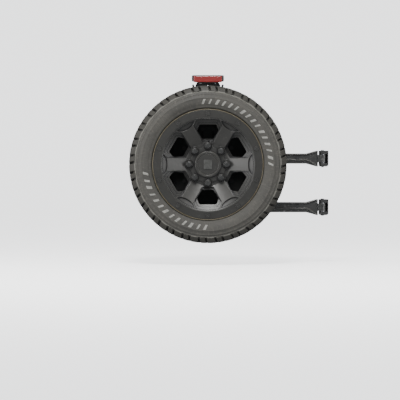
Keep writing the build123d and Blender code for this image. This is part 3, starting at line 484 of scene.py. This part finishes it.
# ================================================================== tyre
def carcass():
    """The tyre's body: beads, sidewalls with their ribs, and the floor of the grooves."""
    half = TYRE_HALF - 0.0012
    side = [(BEAD_R, 0.104), (0.2815, 0.109), (0.2976, 0.1125), (0.2992, 0.1215), (0.3020, 0.1270),
            (0.3060, 0.1312), (0.3100, 0.1338), (0.3135, 0.1340), (0.3165, 0.1362), (0.3230, 0.1402),
            (0.332, 0.1438), (0.345, half), (0.3515, half), (0.3535, half + 0.0009),
            (0.3565, half + 0.0009), (0.3585, half - 0.0006), (0.368, 0.1430), (0.374, 0.1412),
            (0.376, 0.1418), (0.3785, 0.1408), (0.3805, 0.1392), (0.3855, 0.1368), (0.3868, 0.1374),
            (0.3895, 0.1360), (0.391, 0.1335), (0.398, 0.1260), (GROOVE_R - 0.002, 0.112), (GROOVE_R, 0.096)]
    inside = [(0.392, 0.100), (0.384, 0.118), (0.345, 0.134), (0.318, 0.124), (0.300, 0.104),
              (BEAD_R, 0.088)]
    outline = side + [(r, -w) for r, w in reversed(side)]
    outline += [(r, -w) for r, w in reversed(inside)] + inside
    bm = bmesh.new()
    bmesh.ops.spin(bm, geom=closed_wire(bm, outline), cent=(0.0, 0.0, 0.0), axis=(0.0, -1.0, 0.0),
                   angle=2 * math.pi, steps=216, use_merge=True, use_duplicate=False)
    return bm


def shoulder_lug(sweep, steps, foot_r):
    """One lug from the tread over the shoulder to the sidewall, on the front side."""
    section = [(TYRE_R, -0.076), (TYRE_R, -0.1165), (0.4095, -0.1275), (foot_r, -0.1372),
               (foot_r, -0.1300), (0.402, -0.118), (GROOVE_R - 0.004, -0.076)]
    lug = sector(section, 0.0, sweep, steps)
    for vert in lug.verts:
        across = vert.co.y - MID_Y + LUG_MIDDLE
        share = 1.0 if vert.co.length > 0.41 else 0.8
        turn_about_axle(lug, LUG_TWIST * across * share, [vert])
    sharp = [edge for edge in lug.edges if len(edge.link_faces) == 2 and edge.calc_face_angle() > 0.5]
    bmesh.ops.bevel(lug, geom=sharp, offset=LUG_BEVEL, affect="EDGES", segments=1, profile=0.5, material=-1)
    return lug


def tread_block(outline):
    """A centre block from its outline (along, across), wrapped onto the tyre."""
    bm = bmesh.new()
    face = bm.faces.new([bm.verts.new((along, across, GROOVE_R - BLOCK_ROOT)) for along, across in outline])
    raised = bmesh.ops.extrude_face_region(bm, geom=[face], use_keep_orig=True)
    tops = [item for item in raised["geom"] if isinstance(item, bmesh.types.BMVert)]
    bmesh.ops.translate(bm, vec=(0.0, 0.0, TYRE_R - GROOVE_R + BLOCK_ROOT), verts=tops)
    rims = [edge for edge in bm.edges if all(vert in tops for vert in edge.verts)]
    bmesh.ops.bevel(bm, geom=rims, offset=BLOCK_BEVEL, affect="EDGES", segments=1, profile=0.5, material=-1)
    for vert in bm.verts:
        along, across, radius = vert.co
        angle = along / TYRE_R
        vert.co = (radius * math.cos(angle), MID_Y + across, radius * math.sin(angle))
    bmesh.ops.recalc_face_normals(bm, faces=bm.faces)
    return bm


def build_tread(bm):
    """Shoulder lugs on both sides and four rows of slanted blocks between them."""
    lugs = bmesh.new()
    join(lugs, shoulder_lug(LONG_LUG, 3, LONG_FOOT_R))
    short = shoulder_lug(SHORT_LUG, 2, SHORT_FOOT_R)
    turn_about_axle(short, LONG_LUG + LUG_GAP, short.verts)
    join(lugs, short)
    backs = lugs.copy()
    from_middle = Matrix.Translation((0, -MID_Y, 0))
    bmesh.ops.scale(backs, vec=(1.0, -1.0, 1.0), verts=backs.verts, space=from_middle)
    bmesh.ops.reverse_faces(backs, faces=backs.faces)
    turn_about_axle(backs, PITCH / 4, backs.verts)
    join(lugs, backs)
    repeated(bm, lugs, PITCHES)
    blocks = bmesh.new()
    reach = TYRE_R * PITCH / 2 - BLOCK_GAP
    for row, across in enumerate(BLOCK_ROWS):
        lean = BLOCK_LEAN if row % 2 else -BLOCK_LEAN
        outline = [(0.0 + lean, across - 0.0135), (reach * 0.55 + lean, across - 0.0150),
                   (reach + lean * 0.4, across - 0.004), (reach - lean, across + 0.0140),
                   (reach * 0.42 - lean, across + 0.0150), (0.0 - lean * 0.4, across + 0.003)]
        block = tread_block(outline)
        turn_about_axle(block, row * PITCH / 6, block.verts)
        join(blocks, block)
    repeated(bm, blocks, 2 * PITCHES)


def sidewall_bars(first, last, count):
    """A row of plain slanted bars, raised on the front sidewall; degrees run clockwise from the top."""
    bars = bmesh.new()
    section = [(0.3225, -0.1412), (BAR_MIDDLE_R, -0.1455), (0.3495, -TYRE_HALF), (0.3495, -0.1450),
               (BAR_MIDDLE_R, -0.1420), (0.3225, -0.1380)]
    step = (last - first) / count
    for index in range(count):
        width = BAR_WIDTHS[index % len(BAR_WIDTHS)] * step
        start = 90.0 - first - index * step - width
        bar = sector(section, math.radians(start), math.radians(width), 2)
        for vert in bar.verts:
            turn_about_axle(bar, -BAR_SLANT * (vert.co.xz.length - BAR_MIDDLE_R), [vert])
        join(bars, bar)
        bar.free()
    return bars


body_of_tyre = carcass()
for face in body_of_tyre.faces:
    face.material_index = int(face.calc_center_median().xz.length > SHOULDER_R + 0.0025)
build_tread(body_of_tyre)
tyre = solid_piece("tyre_tread", body_of_tyre, "wheel", FINISHES["tyre_rubber"], "tyre_rubber", "tyre")
tyre.data.materials.append(groove_rubber())
tyre.data.shade_smooth()
tyre.data.set_sharp_from_angle(angle=SHARP_TURN)

all_bars = sidewall_bars(-5.0, 95.0, 16)
join(all_bars, sidewall_bars(181.0, 267.0, 13))
solid_piece("sidewall_bars", all_bars, "wheel", pale_rubber(), "tyre_rubber")


# ================================================================== stage, light and camera
FLOOR_Z = cad_box[0][2] - 0.12
FLOOR_R = 12.5
SWEEP_R = 3.0                      # of the sweep from the floor up to the wall
WALL_TOP_Z = 14.0
PAPER_GLOW = 1.7
CAMERA_PLACE = Vector((0.0, -10.85, -0.03))
AIM_POINT = Vector((-0.042, -0.35, -0.190))
LENS = 177.0
SENSOR_WIDTH = 36.0


def studio_bowl():
    """A white paper floor that curves up into a backdrop all the way round."""
    curve = [(FLOOR_R + SWEEP_R * math.sin(turn), FLOOR_Z + SWEEP_R * (1 - math.cos(turn)))
             for turn in (math.radians(angle) for angle in range(0, 91, 6))]
    profile = [(0.0, FLOOR_Z), *curve, (FLOOR_R + SWEEP_R, WALL_TOP_Z)]
    bm = bmesh.new()
    corners = [bm.verts.new((radius, 0.0, z)) for radius, z in profile]
    edges = [bm.edges.new(pair) for pair in zip(corners, corners[1:])]
    bmesh.ops.spin(bm, geom=corners + edges, cent=(0.0, 0.0, 0.0), axis=(0.0, 0.0, 1.0),
                   angle=2 * math.pi, steps=72, use_merge=True, use_duplicate=False)
    bmesh.ops.remove_doubles(bm, verts=bm.verts, dist=0.0001)
    bmesh.ops.recalc_face_normals(bm, faces=bm.faces)
    mesh = bpy.data.meshes.new("studio_bowl")
    bm.to_mesh(mesh)
    bm.free()
    mesh.shade_smooth()
    paper = bpy.data.materials.new("white_paper")
    paper.use_nodes = True
    shader = paper.node_tree.nodes["Principled BSDF"]
    shader.inputs["Base Color"].default_value = (0.88, 0.88, 0.87, 1.0)
    shader.inputs["Roughness"].default_value = 0.9
    shader.inputs["Emission Color"].default_value = (1.0, 1.0, 1.0, 1.0)
    shader.inputs["Emission Strength"].default_value = PAPER_GLOW
    mesh.materials.append(paper)
    bowl = bpy.data.objects.new("studio_bowl", mesh)
    bpy.context.scene.collection.objects.link(bowl)
    bowl.visible_glossy = False
    bowl.visible_diffuse = False
    bowl.visible_shadow = False


def aimed(holder, place, target):
    """Put a lamp or the camera in its place, turned to a point."""
    holder.location = place
    holder.rotation_euler = (Vector(target) - Vector(place)).to_track_quat("-Z", "Y").to_euler()
    bpy.context.scene.collection.objects.link(holder)


def soft_light(name, place, target, size, watts, spread=180.0):
    """A large soft lamp aimed at a point; spread is the width of its beam in degrees."""
    lamp = bpy.data.lights.new(name, "AREA")
    lamp.shape = "DISK"
    lamp.size = size
    lamp.energy = watts
    lamp.spread = math.radians(spread)
    aimed(bpy.data.objects.new(name, lamp), place, target)


def pale_world():
    """A faint cool light from everywhere."""
    world = bpy.data.worlds.new("studio")
    world.use_nodes = True
    background = world.node_tree.nodes["Background"]
    background.inputs["Color"].default_value = (0.86, 0.89, 0.93, 1.0)
    background.inputs["Strength"].default_value = 0.8
    bpy.context.scene.world = world


def front_camera():
    """The camera, far in front of the wheel and about level with its middle."""
    camera = bpy.data.cameras.new("camera")
    camera.lens = LENS
    camera.sensor_width = SENSOR_WIDTH
    holder = bpy.data.objects.new("camera", camera)
    aimed(holder, CAMERA_PLACE, AIM_POINT)
    bpy.context.scene.camera = holder


studio_bowl()
soft_light("key", (-0.15, -3.0, 3.1), (0.0, -0.2, 0.0), size=1.3, watts=235.0)
soft_light("left_side", (-3.6, -1.6, 1.0), (0.0, -0.2, 0.0), size=1.6, watts=20.5, spread=90.0)
soft_light("low_left", (-3.8, -3.4, -0.25), (0.0, -0.2, -0.1), size=1.8, watts=27.0, spread=90.0)
soft_light("low_right", (3.8, -3.2, -0.2), (0.0, -0.2, -0.1), size=1.8, watts=21.0, spread=90.0)
pale_world()
front_camera()
